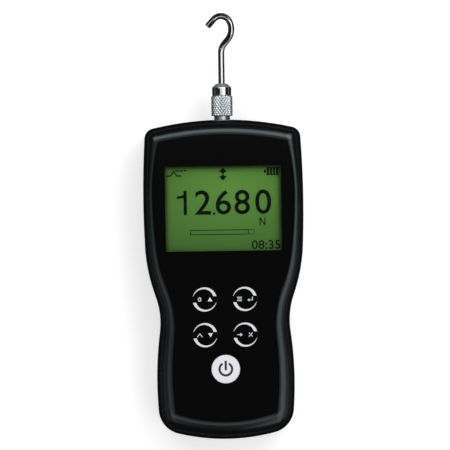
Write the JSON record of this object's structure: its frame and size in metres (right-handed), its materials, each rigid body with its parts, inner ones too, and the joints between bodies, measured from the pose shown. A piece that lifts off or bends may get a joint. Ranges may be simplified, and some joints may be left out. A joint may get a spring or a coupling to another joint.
{
  "type": "force gauge",
  "caption": "Handheld digital force gauge: waisted black case with a recessed front panel, green display, round keys, and a wire hook on a knurled lock nut.",
  "frame": {"origin": "centre of the four test-stand holes on the back face", "axes": "+X is the width, +Y the load axis towards the hook, +Z out of the display"},
  "size_m": [0.075, 0.1999, 0.038],
  "materials": {
    "case_plastic": "fine matt black",
    "overlay_sheet": "satin black",
    "clear_window": "clear",
    "bezel_sheet": "black",
    "display_green": "green display",
    "backlight_white": "white",
    "board_laminate": "green solder mask",
    "switch_plastic": "black",
    "zinc_steel": "zinc plated",
    "brass": "turned",
    "plate_aluminium": "milled",
    "seal_rubber": "matt",
    "cell_jacket": "plain jacket",
    "bright_steel": "ground",
    "matt_nickel": "knurled nickel",
    "bright_chrome": "polished chrome",
    "key_black": "satin black",
    "key_white": "white"
  },
  "bodies": {
    "case": {"front_shell": "case_plastic", "rear_shell": "case_plastic", "front_overlay": "overlay_sheet", "display_window": "clear_window", "display_bezel": "bezel_sheet", "display_glass": "display_green", "display_backlight": "backlight_white", "display_board": "board_laminate", "main_board": "board_laminate", "tact_switches": "switch_plastic", "board_chips": "switch_plastic", "board_connector": "switch_plastic", "board_screws": "zinc_steel", "buzzer": "switch_plastic", "data_socket": "zinc_steel", "case_inserts": "brass", "case_screws": "zinc_steel", "chassis_plate": "plate_aluminium", "chassis_screws": "zinc_steel", "cell_spacer": "plate_aluminium", "load_cell": "plate_aluminium", "cell_screws": "zinc_steel", "guard_ring": "seal_rubber", "battery_cells": "cell_jacket", "battery_contacts": "zinc_steel"},
    "shaft": {"sensing_shaft": "bright_steel"},
    "lock_nut": {"lock_nut": "matt_nickel"},
    "hook": {"hook_ferrule": "bright_chrome", "hook_wire": "bright_chrome"},
    "battery_door": {"battery_cover": "case_plastic"},
    "key_zero_up_cap": {"key_zero_up": "key_black"},
    "key_menu_enter_cap": {"key_menu_enter": "key_black"},
    "key_peak_down_cap": {"key_peak_down": "key_black"},
    "key_send_exit_cap": {"key_send_exit": "key_black"},
    "key_power_cap": {"key_power": "key_white"}
  },
  "joints": [
    {"name": "shaft_travel", "type": "slide", "parent": "case", "child": "shaft", "axis": [0, 1, 0], "range_m": [-0.00025, 0.00025], "stiffness_N_per_m": 200000, "deforming": ["load_cell"]},
    {"name": "lock_nut_turn", "type": "hinge", "parent": "shaft", "child": "lock_nut", "pos_m": [0, 0.0686, 0.019], "axis": [0, 1, 0], "continuous": true},
    {"name": "hook_turn", "type": "hinge", "parent": "shaft", "child": "hook", "pos_m": [0, 0.0753, 0.019], "axis": [0, 1, 0], "continuous": true},
    {"name": "cover_slide", "type": "slide", "parent": "case", "child": "battery_door", "axis": [0, -1, 0], "range_m": [0, 0.012]},
    {"name": "key_zero_up_press", "type": "slide", "parent": "case", "child": "key_zero_up_cap", "axis": [0, 0, -1], "range_m": [0, 0.0004], "stiffness_N_per_m": 4500},
    {"name": "key_menu_enter_press", "type": "slide", "parent": "case", "child": "key_menu_enter_cap", "axis": [0, 0, -1], "range_m": [0, 0.0004], "stiffness_N_per_m": 4500},
    {"name": "key_peak_down_press", "type": "slide", "parent": "case", "child": "key_peak_down_cap", "axis": [0, 0, -1], "range_m": [0, 0.0004], "stiffness_N_per_m": 4500},
    {"name": "key_send_exit_press", "type": "slide", "parent": "case", "child": "key_send_exit_cap", "axis": [0, 0, -1], "range_m": [0, 0.0004], "stiffness_N_per_m": 4500},
    {"name": "key_power_press", "type": "slide", "parent": "case", "child": "key_power_cap", "axis": [0, 0, -1], "range_m": [0, 0.0004], "stiffness_N_per_m": 4500}
  ]
}
